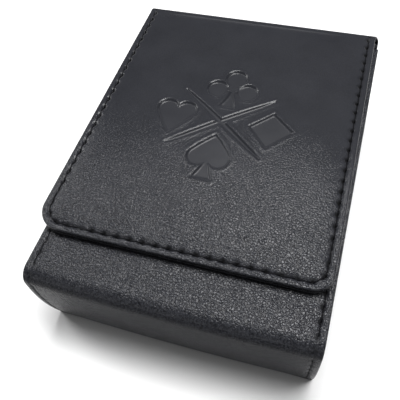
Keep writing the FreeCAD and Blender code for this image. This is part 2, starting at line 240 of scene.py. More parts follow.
def depth_at(station, thick, rim, insets):
    """Depth below the top of each grid point, and the fold of its row's thickness."""
    drops, fold = rim_drops(thick, rim, len(insets) + 1)
    return np.take_along_axis(drops, station[None], 0)[0], fold


def spread(x, y, centres, sigma):
    """Sum of soft round bumps, one at each centre."""
    total = np.zeros_like(x)
    for cx, cy in centres:
        near = (np.abs(x - cx) < 3.2 * sigma) & (np.abs(y - cy) < 3.2 * sigma)
        if near.any():
            r2 = (x[near] - cx) ** 2 + (y[near] - cy) ** 2
            total[near] += np.exp(-r2 / (2 * sigma * sigma))
    return total


def waves(x, y, seed):
    """Slow, shallow undulation of hand-laid leather, in -1..1."""
    rng = np.random.RandomState(seed)
    total = np.zeros_like(x)
    for _ in range(7):
        angle, length = rng.uniform(0, math.pi), rng.uniform(11, 34)
        phase = rng.uniform(0, 2 * math.pi)
        total += np.sin((x * math.cos(angle) + y * math.sin(angle)) * 2 * math.pi / length + phase)
    return total / 7.0


def arc_points(cx, cy, r, start, end, count=24):
    return [(cx + r * math.cos(t), cy + r * math.sin(t)) for t in np.linspace(start, end, count)]


def bend(cy, cz, r, angles):
    """(y, z, normal y, normal z) round a bend in leather."""
    return [(cy + r * math.cos(t), cz + r * math.sin(t), math.cos(t), math.sin(t))
            for t in angles]


def run_along(points):
    """Length run along a polyline up to each of its points."""
    return np.concatenate([[0], np.cumsum(np.hypot(*np.diff(points, axis=0).T))])


def between(values):
    """Middles of neighbouring values."""
    return (values[1:] + values[:-1]) / 2


# ---- Stitches ----


def stitch_path(points):
    """Hole positions, evenly spaced along a polyline of (x, y) points."""
    run = run_along(points)
    at = np.linspace(0, run[-1], int(round(run[-1] / PITCH)) + 1)
    return np.column_stack([np.interp(at, run, values) for values in zip(*points)])


def unit(vector):
    return vector / np.linalg.norm(vector)


def stitches(name, runs, radius=0.22, rise=0.06, dive=0.60, slant=0.1, gap=0.1):
    """Thread between neighbouring holes; each run is (holes, normals)."""
    sides, segments = 8, 10
    build = Builder()
    for holes, normals in runs:
        for i in range(len(holes) - 1):
            a, b = holes[i], holes[i + 1]
            n = unit(normals[i] + normals[i + 1])
            length = np.linalg.norm(b - a)
            along = (b - a) / length
            side = np.cross(n, along)
            rings = []
            for s in np.linspace(0, 1, segments + 1):
                w = 2 * s - 1
                centre = (a + b) / 2 + along * w * (length / 2 - gap) + side * slant * w
                centre = centre + n * (rise - dive * abs(w) ** 5)
                lean = -dive * 5 * abs(w) ** 4 * math.copysign(1, w) / (length / 2)
                up = unit(np.cross(unit(along + n * lean), side))
                if up.dot(n) < 0:
                    up = -up
                r = radius * (1 - 0.25 * abs(w) ** 3)
                rings.append([centre + r * (math.cos(t) * side + 0.85 * math.sin(t) * up)
                              for t in np.linspace(0, 2 * math.pi, sides, endpoint=False)])
            start = build.grid(rings, wrap=True, flip=True)
            build.cap(range(start, start + sides), flip=True)
            end = start + segments * sides
            build.cap(range(end, end + sides))
    return build.build(name)


def hem_height(inset, x, y, holes, middles, pulled=1.0):
    """Seam groove, needle holes, and the hem that puffs up between them."""
    seam = np.exp(-((inset - STITCH_INSET) / np.where(inset < STITCH_INSET, 0.36, 0.24)) ** 2)
    swell = np.clip(spread(x, y, middles, 1.0), 0, 1)
    strip = smooth(inset, 0.3, 0.8) * smooth(-inset, -1.75, -1.35)
    inner = np.exp(-((inset - 2.7) / 0.5) ** 2)
    pull = 0.60 * pulled * spread(x, y, holes, 0.50) * smooth(inset, 1.3, 1.8)
    return -GROOVE * seam * (1 - 0.35 * swell) + 0.035 * (strip + 0.5 * inner) * swell - pull


def pierced(inset, x, y, holes):
    """Painted shade in the seam: darkest at the mouths of the needle holes, inside the seam, and a
    dark line along the groove under the thread between them.
    """
    mouth = 1.8 * spread(x, y, holes, 0.46) * smooth(inset, 1.6, 2.0)
    return np.clip(mouth + 0.5 * np.exp(-((inset - STITCH_INSET) / 0.2) ** 2), 0, 1)


# ---- Pressed ornament ----

HEART_X = -14.0
DIAMOND = [(14.2, 6.1), (20.8, 0.3), (14.4, -6.7), (8.2, 0.0)]
BARS = [(-13.5, -10.6, 13.5, 10.7), (-13.5, 10.1, 13.5, -10.5)]
BAR_WIDTH = 1.35
CLUB_LOBES = [(0, 17.4, 3.2), (-4.55, 12.4, 3.15), (4.55, 12.4, 3.15), (0, 13.9, 1.9)]


def heart_outline(tip_y, width, height, lobe, belly):
    """Closed outline about x = 0; a negative height turns it over, as for a spade."""
    way = math.copysign(1, height)
    lobe_x, lobe_y = width / 2 - lobe, abs(height) - lobe
    away = math.hypot(lobe_x, lobe_y)
    angle = math.atan2(lobe_y, lobe_x) - math.asin(lobe / away)
    run = math.sqrt(away ** 2 - lobe ** 2)
    touch = (run * math.cos(angle), run * math.sin(angle))
    start = math.atan2(touch[1] - lobe_y, touch[0] - lobe_x)
    end = math.acos(max(-1.0, -lobe_x / lobe))
    side = []
    for s in np.linspace(0, 1, 12, endpoint=False):
        out = belly * math.sin(math.pi * s)
        side.append((touch[0] * s + out * touch[1] / run, touch[1] * s - out * touch[0] / run))
    right = side + arc_points(lobe_x, lobe_y, lobe, start, end)
    left = [(-x, y) for x, y in reversed(right[1:])]
    return [(x, tip_y + way * y) for x, y in right + left]


def stem_outline(neck_y, foot_y, foot_width, neck=0.45):
    side = []
    for s in np.linspace(0, 1, 10):
        half = neck + (foot_width / 2 - neck) * s ** 1.8
        side.append((half, neck_y + (foot_y - neck_y) * s))
    return side + [(-x, y) for x, y in reversed(side)]


def bar_outline(x0, y0, x1, y1):
    """A bar that is widest in its middle and ends in blunt points."""
    dx, dy = x1 - x0, y1 - y0
    length = math.hypot(dx, dy)
    nx, ny = -dy / length, dx / length
    out = []
    for way, shares in ((1, np.linspace(0, 1, 17)), (-1, np.linspace(1, 0, 17))):
        for s in shares:
            half = way * (BAR_WIDTH / 2 * (1 - (2 * s - 1) ** 2) ** 0.8 + 0.08)
            out.append((x0 + dx * s + nx * half, y0 + dy * s + ny * half))
    return out


def polygon_distance(x, y, outline):
    """Distance to a closed outline, negative inside."""
    best = np.full(x.shape, 1e9)
    inside = np.zeros(x.shape, bool)
    for (ax, ay), (bx, by) in zip(outline, outline[1:] + outline[:1]):
        ex, ey = bx - ax, by - ay
        size = ex * ex + ey * ey
        if size < 1e-12:
            continue
        t = np.clip(((x - ax) * ex + (y - ay) * ey) / size, 0, 1)
        best = np.minimum(best, np.hypot(x - ax - t * ex, y - ay - t * ey))
        if ay != by:
            inside ^= ((ay > y) != (by > y)) & (x < ex * (y - ay) / (by - ay) + ax)
    return np.where(inside, -best, best)


def ornament_distance(x, y):
    """Signed distance to the suits and bars, about the point where the bars cross."""
    heart = heart_outline(tip_y=-7.0, width=11.7, height=12.2, lobe=3.05, belly=0.25)
    heart = [(px + HEART_X, py) for px, py in heart]
    spade = [heart_outline(tip_y=-4.9, width=12.2, height=-11.4, lobe=3.2, belly=0.2),
             stem_outline(neck_y=-11.6, foot_y=-20.5, foot_width=5.8)]
    club_stem = stem_outline(neck_y=13.0, foot_y=5.8, foot_width=4.9)
    total = np.full(x.shape, 1e9)
    for outline in [heart, DIAMOND] + spade + [club_stem] + [bar_outline(*bar) for bar in BARS]:
        total = np.minimum(total, polygon_distance(x, y, outline))
    for cx, cy, r in CLUB_LOBES:
        total = np.minimum(total, np.hypot(x - cx, y - cy) - r)
    return total


# ---- Flap leather ----


def run_out(x, y):
    """How far the flap's right part is let out sideways, growing toward its near end."""
    along = np.clip((FLAP_FAR_Y - y) / (FLAP_FAR_Y - FLAP_NEAR_Y), 0, 1)
    return RUN_OUT * along * np.clip((x - 20.0) / 15.0, 0, 1)


def flap_stitch_holes():
    """Holes of the flap's seam in plan, from its far left round the near edge to its far right."""
    x = FLAP_HALF - STITCH_INSET
    y = FLAP_NEAR_Y + STITCH_INSET
    left, right = LEFT_CORNER_R - STITCH_INSET, RIGHT_CORNER_R - STITCH_INSET
    path = [(-x, FLAP_FAR_Y - 1.8), (-x, y + left)]
    path += arc_points(-x + left, y + left, left, math.pi, 1.5 * math.pi, 16)
    path += arc_points(x - right, y + right, right, 1.5 * math.pi, 2 * math.pi, 16)
    path += [(x, y + right), (x, FLAP_FAR_Y - 1.8)]
    holes = stitch_path([(px + FLAP_X, py) for px, py in path])
    holes[:, 0] += run_out(holes[:, 0], holes[:, 1])
    return holes


def crown_height(inset, y):
    """Height of the padded top, which rises from the seam and falls again at the far edge."""
    rise = 1 - np.exp(-np.clip(inset - 2.1, 0, None) / 4.5)
    far = 1 - np.exp(-np.clip(FLAP_FAR_Y - 0.8 - y, 0, None) / 3.0)
    return CROWN * rise * far


def flap_thickness(y):
    """The hem ends just short of the hinge, where one layer of leather goes on."""
    return LEATHER + (FLAP_THICK - LEATHER) * smooth(FLAP_FAR_Y - y, 0.2, 0.4)


def flap_lift(inset, x, y, holes, pressed, pressing):
    """Height of the flap's face above its flat hem."""
    lift = hem_height(inset, x, y, holes, between(holes)) + crown_height(inset, y)
    lift += 0.035 * waves(x, y, 4) * smooth(inset, 3.0, 8.0)
    lift -= PRESS * pressed
    return lift + PRESS_LIP * np.exp(-((pressing - 0.75) / 0.45) ** 2)


def flap_leather(holes):
    """Outer leather of the flap, with the pressed suits. It is open at its far edge."""
    insets = rim_stations(FLAP_RIM, TOP_INSETS)
    measure = monotone(insets, FLAP_THICK, FLAP_RIM)
    radii = corner_radii(insets, LEFT_CORNER_R, RIGHT_CORNER_R, 3.8)
    x_lines = lines(FLAP_X - FLAP_HALF, FLAP_X + FLAP_HALF, insets,
                    np.arange(-24.7, 24.8, FINE) + FLAP_X)
    rows = [FLAP_FAR_Y - d for d in (0.0, 0.2, 0.25, 0.4, 0.7, 1.1, 1.5, 1.9, 2.4)]
    rows += list(np.arange(48.0, 27.2, -0.42)) + list(np.arange(27.0, -14.1, -FINE))
    rows += list(np.arange(-14.5, -25.2, -0.45))
    y_lines = lines(FLAP_NEAR_Y, 0, insets, rows[::-1], high_rim=False)[::-1]
    square_x, y, station = plan(x_lines, y_lines, insets, measure, radii)
    x = square_x + run_out(square_x, y)
    within = np.minimum(FLAP_HALF - np.abs(square_x - FLAP_X), y - FLAP_NEAR_Y)
    table = np.array(insets + [insets[-1]])
    inset = np.where(station == len(insets), np.maximum(within, insets[-1]), table[station])
    depth, fold = depth_at(station, flap_thickness(y), FLAP_RIM, insets)
    pressing = ornament_distance(x - ORNAMENT_X, y - ORNAMENT_Y)
    pressed = smooth(-pressing, -0.30, 0.45)
    lift = flap_lift(inset, x, y, holes, pressed, pressing)
    z = FLAP_TOP_Z - depth + np.where(station >= RIM - 1, lift, 0.0)

    # The edge is drawn in a little between the two layers of the hem.
    drawn_in = np.where(station == 6, 0.22 * fold, 0.0)
    at_side = np.abs(square_x - FLAP_X) > FLAP_HALF - 0.5
    x = x + np.where(x < FLAP_X, 1.0, -1.0) * drawn_in * at_side
    y = y + drawn_in * (~at_side)
    build = Builder()
    build.grid(np.dstack([x, y, z]), pressed=pressed, pierced=pierced(inset, x, y, holes))

    # Underside of the leather at the far edge, where the hem stops
    end_y = FLAP_FAR_Y - np.array([0.0, 0.18, 0.22, 0.35, 0.7, 1.1])
    end_x = np.linspace(FLAP_X - FLAP_HALF + 1.0, FLAP_X + FLAP_HALF - 1.0, BACKING_COLUMNS)
    x, y = np.meshgrid(end_x, end_y)
    build.grid(np.dstack([x, y, FLAP_TOP_Z - flap_thickness(y)]), flip=True)
    return build.build("flap_leather_cover")


flap_holes = flap_stitch_holes()
flap_cover = flap_leather(flap_holes)
flap_seam = stitches("flap_stitches", [(
    np.column_stack([flap_holes, np.full(len(flap_holes), FLAP_TOP_Z - GROOVE)]),
    np.tile([0.0, 0.0, 1.0], (len(flap_holes), 1)))])

# ---- Hinge leather over the far edge ----


def hinge_profile():
    """(y, z, normal y, normal z) from the flap's top, over the bend, to the front's facing."""
    bend_z = FLAP_TOP_Z - HINGE_R
    out = [(FAR_Y, z, 1, 0) for z in np.linspace(FRONT_TOP_Z, bend_z, 5, endpoint=False)]
    out += bend(FLAP_FAR_Y, bend_z, HINGE_R, np.linspace(0, math.pi / 2, 13))
    return np.array(out[::-1])


def hinge():
    """Bent leather between the flap and the facing, which are not quite equally wide."""
    insets = rim_stations(HINGE_RIM, [0.95, 1.45, 1.95, 2.45, 3.1, 4.0])
    middle = np.arange(-33, 33.1, 1.5)
    front_side = lines(-FRONT_HALF, FRONT_HALF, insets, middle)
    flap_side = lines(FLAP_X - FLAP_HALF, FLAP_X + FLAP_HALF, insets, middle + FLAP_X)
    profile = hinge_profile()
    run = run_along(profile[:, :2])
    drops, _ = rim_drops(np.array(LEATHER), HINGE_RIM, len(insets) + 1)
    outer, inner = [], []
    for (y, z, ny, nz), share in zip(profile, smooth(run / run[-1], 0.0, 1.0)):
        row = []
        for (x_flap, k, _, _), (x_front, _, _, _) in zip(flap_side, front_side):
            drop = 0.0 if k is None else float(drops[k])
            row.append((x_flap + (x_front - x_flap) * share, y - ny * drop, z - nz * drop))
        outer.append(row)
        half = FLAP_HALF + (FRONT_HALF - FLAP_HALF) * share - 0.3
        inner.append([(FLAP_X * (1 - share) + half * x, y - ny * LEATHER, z - nz * LEATHER)
                      for x in np.linspace(-1.0, 1.0, BACKING_COLUMNS)])
    build = Builder()
    build.grid(outer, flip=True)
    build.grid(inner)
    return build.build("hinge_leather")


hinge_leather = hinge()

# ---- Facing of the tray's front ----


def front_thickness(z):
    """The turned edge ends just below the top, where one layer goes on as the hinge."""
    return LEATHER + (FRONT_THICK - LEATHER) * smooth(-z, -28.49, -28.44)


def front_leather(runs):
    """Leather of the tray's front, turned round its sides and foot."""
    insets = rim_stations(FRONT_RIM, [t for t in TOP_INSETS if t < 4.3])
    measure = monotone(insets, FRONT_THICK, FRONT_RIM)
    radii = corner_radii(insets, 1.3, 1.3, 0.0)
    x_lines = lines(-FRONT_HALF, FRONT_HALF, insets, np.arange(-33.2, 33.3, 0.8))
    top = [28.44, 28.49, FRONT_TOP_Z]
    rows = list(np.arange(4.9, 27.6, 0.42)) + [27.8, 28.1, 28.35] + top
    z_lines = lines(FRONT_FOOT_Z, 0, insets, rows, high_rim=False)[::-1]
    x, z, station = plan(x_lines, z_lines, insets, measure, radii)
    inset = np.array(insets + [30.0])[station]
    depth, _ = depth_at(station, front_thickness(z), FRONT_RIM, insets)
    holes = np.concatenate(runs)
    middles = np.concatenate([between(run) for run in runs])
    side_inset = FRONT_HALF - np.abs(x)
    lift = hem_height(side_inset, x, z, holes, middles)
    lift = lift * smooth(z, 1.6, 3.2) * smooth(-z, -28.3, -27.3)
    lift += 0.03 * waves(x, z, 9) * smooth(inset, 2.5, 6.0) * smooth(-z, -28.0, -24.0)
    depth = depth - np.where(station >= RIM - 1, lift, 0.0)
    build = Builder()
    build.grid(np.dstack([x, FAR_Y - depth, z]), flip=True,
               pierced=pierced(side_inset, x, z, holes))
    columns = np.linspace(0.3 - FRONT_HALF, FRONT_HALF - 0.3, BACKING_COLUMNS)
    x, z = np.meshgrid(columns, ([28.36] + top)[::-1])
    build.grid(np.dstack([x, FAR_Y - front_thickness(z), z]))
    return build.build("front_facing_leather")


def front_thread(runs):
    placed = []
    for run in runs:
        seat = np.column_stack([run[:, 0], np.full(len(run), FAR_Y - GROOVE), run[:, 1]])
        placed.append((seat, np.tile([0.0, 1.0, 0.0], (len(run), 1))))
    return stitches("front_stitches", placed)


front_runs = [stitch_path([(side * (FRONT_HALF - 2.0), 27.4), (side * (FRONT_HALF - 2.0), 2.5)])
              for side in (-1, 1)]
front_facing = front_leather(front_runs)
front_seam = front_thread(front_runs)

# ---- Sleeve strip: over the top and down the closed end ----

LIP_POINTS = 9               # points of the profile round the mouth's lip
FOOT_POINTS = 6              # from the end of its profile, where the foot turns under


def end_y_at(z, inset=0.0):
    """Y of the closed end at height z, that far inside its leather."""
    reach = math.sqrt((BOW_RADIUS - inset) ** 2 - (z - BOW_HEIGHT) ** 2)
    return NEAR_Y + BOW_RADIUS - reach


def plan_bow(x, y):
    """How far the closed end stands out at its middle."""
    return PLAN_BOW * (1 - (x / HEM_X) ** 2) * smooth(-y, 40.0, 49.0)


def sleeve_profile():
    """(y, z, normal y, normal z) from the turned lip at the mouth to the foot of the closed end."""
    out = [(MOUTH_Y - 0.75, LIP_Z + 0.25, 0, -1), (MOUTH_Y - 0.4, LIP_Z + 0.02, 0, -1),
           (MOUTH_Y - 0.05, LIP_Z + 0.1, 0.7, -0.7), (MOUTH_Y + 0.03, LIP_Z + 0.4, 1, 0),
           (MOUTH_Y + 0.03, TOP_Z - 1.2, 1, 0), (MOUTH_Y + 0.03, TOP_Z - 0.6, 1, 0)]
    out += bend(MOUTH_Y - 0.57, TOP_Z - 0.6, 0.6, [math.radians(a) for a in (30, 60, 90)])
    centre_z = TOP_Z - BEND_RADIUS
    touch = math.asin((centre_z - BOW_HEIGHT) / (BOW_RADIUS - BEND_RADIUS))
    centre_y = NEAR_Y + BOW_RADIUS - (BOW_RADIUS - BEND_RADIUS) * math.cos(touch)
    top = list(np.arange(MOUTH_Y - 1.2, -34.0, -0.7)) + list(np.arange(-34.2, centre_y + 0.2, -0.3))
    out += [(y, TOP_Z, 0, 1) for y in top]
    out += bend(centre_y, centre_z, BEND_RADIUS, np.linspace(math.pi / 2, math.pi - touch, 19))
    for z in np.arange(out[-1][1] - 0.35, 1.35, -0.35):
        slope = math.asin((z - BOW_HEIGHT) / BOW_RADIUS)
        out.append((end_y_at(z), z, -math.cos(slope), math.sin(slope)))
    foot_y = end_y_at(LEATHER)
    out += [(foot_y - 0.02, 1.15, -1, 0), (foot_y + 0.03, 0.92, -0.8, -0.6),
            (foot_y + 0.2, 0.82, -0.3, -0.95), (foot_y + 0.6, 0.81, 0, -1),
            (foot_y + 1.4, 0.81, 0, -1)]
    return np.array(out, float)


def on_sleeve(profile, x, v, depth):
    """Point and normal at v along the strip, that deep in its leather."""
    y, z, ny, nz = (np.interp(v, run_along(profile[:, :2]), profile[:, i]) for i in range(4))
    n = np.array([0.0, ny, nz]) / math.hypot(ny, nz)
    return np.array([x, y - float(plan_bow(x, np.array(y))), z]) - n * depth, n


def sleeve_leather(profile, seam_x, hole_runs):
    """The strip's outer face, with a seam along each of its sides."""
    run = run_along(profile[:, :2])
    mouth, foot = run[LIP_POINTS - 1], run[-FOOT_POINTS]
    insets = rim_stations(STRIP_RIM, [t for t in TOP_INSETS if t < 5.5])
    x_lines = lines(-HEM_X, HEM_X, insets, np.arange(-32.0, 32.1, 0.8))
    station = np.array([len(insets) if l[1] is None else l[1] for l in x_lines])
    drops, _ = rim_drops(np.array(LEATHER), STRIP_RIM, len(insets) + 1)
    x, v = np.meshgrid([l[0] for l in x_lines], run)
    side_inset = HEM_X - np.abs(x)
    holes = [(side * seam_x, at) for side in (-1, 1) for at in hole_runs]
    middles = [(side * seam_x, at) for side in (-1, 1) for at in between(hole_runs)]

    # The thread pulls less at the left, and hardly at all on the closed end.
    turn = run[np.argmax(profile[:, 2] < -0.05)]
    pulled = np.where(x < 0, 0.55, 0.85) * (1 - 0.8 * smooth(v, turn - 3.0, turn + 2.0))
    lift = hem_height(side_inset, x, v, holes, middles, pulled)
    lift = lift * smooth(v, mouth + 0.2, mouth + 1.4) * smooth(-v, -foot, -foot + 1.2)
    belly = smooth(side_inset, 2.0, 7.0) * smooth(v, run[LIP_POINTS], run[LIP_POINTS] + 4)
    belly = belly * smooth(-v, -foot, -foot + 4)
    lift += 0.05 * belly * waves(x, v, 2) + 0.05 * belly
    thinned = [0.2, 0.2, 0.3] + [0.7] * (LIP_POINTS - 3) + [1.0] * (len(profile) - LIP_POINTS)
    depth = np.tile(drops[station], (len(profile), 1)) * np.array(thinned)[:, None]
    depth = depth - np.where(station >= RIM - 1, lift, 0.0)
    y = profile[:, 0][:, None] - profile[:, 2][:, None] * depth
    z = profile[:, 1][:, None] - profile[:, 3][:, None] * depth
    y = y - plan_bow(x, y)
    # Painted shade at the seam, weaker where the thread pulls less.
    dark = np.sqrt(pulled) * pierced(side_inset, x, v, holes)
    x[:5] *= LIP_HALF / HEM_X
    build = Builder()
    build.grid(np.dstack([x, y, z]), pierced=dark)
    return build.build("sleeve_strip_leather")


def sleeve_thread(profile, seam_x, hole_runs):
    placed = []
    for side in (-1, 1):
        seats = [on_sleeve(profile, side * seam_x, v, GROOVE) for v in hole_runs]
        placed.append((np.array([p for p, _ in seats]), np.array([n for _, n in seats])))
    return stitches("sleeve_stitches", placed)


strip_profile = sleeve_profile()
strip_run = run_along(strip_profile[:, :2])
strip_seam_x = HEM_X - 2.0
strip_holes = stitch_path([(0, strip_run[LIP_POINTS - 1] + 1.6),
                           (0, strip_run[-FOOT_POINTS] - 1.2)])[:, 1]
sleeve_strip = sleeve_leather(strip_profile, strip_seam_x, strip_holes)
sleeve_seam = sleeve_thread(strip_profile, strip_seam_x, strip_holes)

# ---- Padding and linings ----

PAD_STEP = 1.4               # grid step of pads and flat linings, away from their edges
LINING_CORNER = 0.8          # radius between the tray's lining on its walls and on its floor


def flat_pad(name, x0, x1, y0, y1, z0, z1, corner, edge, top=None):
    """Closed sheet or pad with rounded corners and edges; top(inset, x, y) raises its upper face."""
    turns = [math.radians(a) for a in (0, 30, 60, 90)]
    tops = [edge + d for d in (0.5, 1.2, 2.2, 3.4, 4.8, 6.4, 8.2)]
    tops = [t for t in tops if t < min(x1 - x0, y1 - y0) / 2 - 1]
    levels = [edge * (1 - math.cos(t)) for t in turns] + tops
    depth = [edge * (1 - math.sin(t)) for t in turns] + [0.0] * len(tops)
    measure = [0.0]
    for k in range(1, len(levels)):
        measure.append(measure[-1] + max(0.02, levels[k] - levels[k - 1]))
    last_turn = len(turns) - 1
    shift = measure[last_turn] - levels[last_turn]
    measure = [m - shift for m in measure]
    fade = [float(1 - smooth(d, tops[-1] * 0.5, tops[-1])) for d in levels]
    radii = [max(corner - d, 0.4) * f for d, f in zip(levels, fade)]

    def grid_lines(low, high):
        inner = levels[-1] + PAD_STEP
        count = max(2, int((high - low) / PAD_STEP) // 2)
        return lines(low, high, levels, np.linspace(low + inner, high - inner, count))

    x, y, station = plan(grid_lines(x0, x1), grid_lines(y0, y1), levels, measure,
                         {1: radii, -1: radii})
    sunk = np.array(depth + [0.0])[station]
    inset = np.array(levels + [30.0])[station]
    rise = np.zeros_like(x) if top is None else top(inset, x, y)
    build = Builder()
    upper = np.dstack([x, y, z1 - sunk + np.where(station >= last_turn, rise, 0.0)])
    lower = np.dstack([x, y, z0 + np.minimum(sunk, (z1 - z0) / 2)])
    build.grid(upper, flip=True)
    build.grid(lower)
    rows, cols = x.shape
    ring = [(r, 0) for r in range(rows)] + [(rows - 1, c) for c in range(1, cols)]
    ring += [(r, cols - 1) for r in range(rows - 2, -1, -1)]
    ring += [(0, c) for c in range(cols - 2, 0, -1)]
    build.grid([[face[r, c] for r, c in ring] for face in (upper, lower)], wrap=True)
    return build.build(name)


def pad_top(inset, x, y):
    """Crown of the padding, a little under the leather's, with the ornament pressed in."""
    crown = crown_height(inset + 2.6, y) - crown_height(np.array(2.6), y)
    pressing = ornament_distance(x - ORNAMENT_X, y - ORNAMENT_Y)
    return np.minimum(crown, CROWN * 0.8) * 0.9 - 0.45 * smooth(-pressing, -0.6, 0.3)


def nap(inset, x, y):
    return 0.03 * waves(x, y, 21) * smooth(inset, 0.3, 2.0)


def moved(piece, rows):
    """Turn a flat piece into its place; a mirrored one has its faces turned round again."""
    matrix = Matrix(rows)
    piece.data.transform(matrix)
    if matrix.determinant() < 0:
        piece.data.flip_normals()
    return piece


padding = flat_pad("flap_padding", FLAP_X - 35.0, FLAP_X + 35.0, -35.2, 47.4, 29.95, 30.3,
                   corner=3.0, edge=0.17, top=pad_top)
flap_suede = moved(
    flat_pad("flap_suede", FLAP_X - 37.4, FLAP_X + 37.4, -37.6, 49.8, 0, SUEDE, 4.9, 0.15),
    ((1, 0, 0, 0), (0, 1, 0, 0), (0, 0, -1, 29.1 * MM), (0, 0, 0, 1)))
front_suede = moved(
    flat_pad("front_suede", -36.8, 36.8, 1.3, 28.35, 0, SUEDE, 0.6, 0.15),
    ((1, 0, 0, 0), (0, 0, -1, 49.8 * MM), (0, 1, 0, 0), (0, 0, 0, 1)))
stop_pad = flat_pad("drawer_stop_felt", -14.0, 14.0, 38.3, 44.3, 24.6, 25.7, 0.8, 0.35, nap)


def rounded_loop(x0, x1, y0, y1, r, step):
    """Points round a rectangle with rounded corners, from its left near corner, anticlockwise."""
    out = []
    corners = [(x0 + r, y0 + r, math.pi), (x1 - r, y0 + r, 1.5 * math.pi),
               (x1 - r, y1 - r, 0.0), (x0 + r, y1 - r, 0.5 * math.pi)]
    for i, (cx, cy, t0) in enumerate(corners):
        out += arc_points(cx, cy, r, t0, t0 + math.pi / 2, 6)
        nx, ny, t1 = corners[(i + 1) % 4]
        a = out[-1]
        b = (nx + r * math.cos(t1), ny + r * math.sin(t1))
        count = max(2, int(math.hypot(b[0] - a[0], b[1] - a[1]) / step))
        out += [(a[0] + (b[0] - a[0]) * s, a[1] + (b[1] - a[1]) * s)
                for s in np.linspace(0, 1, count + 1)[1:-1]]
    return np.array(out)


def tray_edge(x, y):
    """Height of the tray's rim: the side walls dip in a finger notch with rounded shoulders."""
    away = np.abs(y - (TRAY_BACK_Y + TRAY_FRONT_Y) / 2)
    dip = np.where(away < NOTCH_R, np.sqrt(np.clip(NOTCH_R ** 2 - away ** 2, 0, None)), 0.0)
    share = np.clip((NOTCH_R + NOTCH_LEAD - away) / NOTCH_LEAD, 0, 1)
    lead = NOTCH_LEAD * (1 - np.sqrt(np.clip(1 - share ** 2, 0, 1)))
    at_side = np.abs(x) > TRAY_X - WALL - 1.0
    return TRAY_TOP_Z - np.where(at_side, np.maximum(dip, lead), 0.0)


def closed_liner(name, rows, flip):
    """Lining of loops, each inside the last or below it, closed by its last loop."""
    build = Builder()
    loop = len(rows[0])
    start = build.grid(rows, wrap=True, flip=flip)
    last = start + (len(rows) - 1) * loop
    build.cap(range(last, last + loop), flip=not flip)
    return build.build(name)


def tray_liner():
    x, y0, y1 = TRAY_X - WALL, TRAY_BACK_Y + WALL, TRAY_FRONT_Y - WALL
    base = rounded_loop(-x + SUEDE, x - SUEDE, y0 + SUEDE, y1 - SUEDE, 1.0, 0.9)
    outer = base.copy()
    outer[:, 0] = np.clip(outer[:, 0] * (x / (x - SUEDE)), -x, x)
    near_end, far_end = outer[:, 1] < y0 + 1.4, outer[:, 1] > y1 - 1.4
    outer[:, 1] += SUEDE * far_end - SUEDE * near_end
    edge = tray_edge(outer[:, 0], outer[:, 1])
    foot = TRAY_FLOOR_Z + SUEDE
    rows = []
    for share, level in ((0.0, -0.8), (0.0, -0.12), (0.25, -0.02), (0.75, -0.02), (1.0, -0.12)):
        rows.append(np.column_stack([outer + (base - outer) * share, edge + level]))
    for s in np.linspace(0.04, 1.0, 12):
        rows.append(np.column_stack([base, (edge - 0.12) * (1 - s) + (foot + LINING_CORNER) * s]))
    for t in (30, 60, 90):
        a = math.radians(t)
        inner = base * (1 - LINING_CORNER * (1 - math.cos(a)) / np.array([x, (y1 - y0) / 2]))
        level = foot + LINING_CORNER * (1 - math.sin(a))
        rows.append(np.column_stack([inner, np.full(len(base), level)]))
    centre = rows[-1].mean(axis=0)
    rows.append(centre + (rows[-1] - centre) * 0.97)
    return closed_liner("tray_suede", rows, True)


def sleeve_liner():
    x, low, high = 35.4, 2.3, 26.1
    mouth = 48.28
    outer = rounded_loop(-x, x, low, high, 0.9, 1.6)
    centre = np.array([0.0, (low + high) / 2])
    shrink = np.array([(x - SUEDE) / x, (high - low - 2 * SUEDE) / (high - low)])
    inner = centre + (outer - centre) * shrink
    rows = []
    for share, y in ((0.0, 47.6), (0.0, 48.3), (0.3, 48.38), (0.8, 48.38), (1.0, mouth)):
        xz = outer + (inner - outer) * share
        rows.append(np.column_stack([xz[:, 0], np.full(len(xz), y), xz[:, 1]]))
    end = np.array([end_y_at(z, END_STACK) for z in inner[:, 1]])
    for s in np.linspace(0.05, 0.985, 26):
        rows.append(np.column_stack([inner[:, 0], mouth + (end - mouth) * s, inner[:, 1]]))
    for s in (0.98, 0.93, 0.8, 0.6, 0.35, 0.12):
        xz = centre + (inner - centre) * s
        ys = np.array([end_y_at(z, END_STACK) for z in xz[:, 1]])
        rows.append(np.column_stack([xz[:, 0], ys, xz[:, 1]]))
    return closed_liner("sleeve_suede", rows, False)


tray_suede = tray_liner()
sleeve_suede = sleeve_liner()

# ---- Materials ----


def socket(value, shader_input):
    if isinstance(value, bpy.types.NodeSocket):
        shader_input.node.id_data.links.new(value, shader_input)
    else:
        shader_input.default_value = value


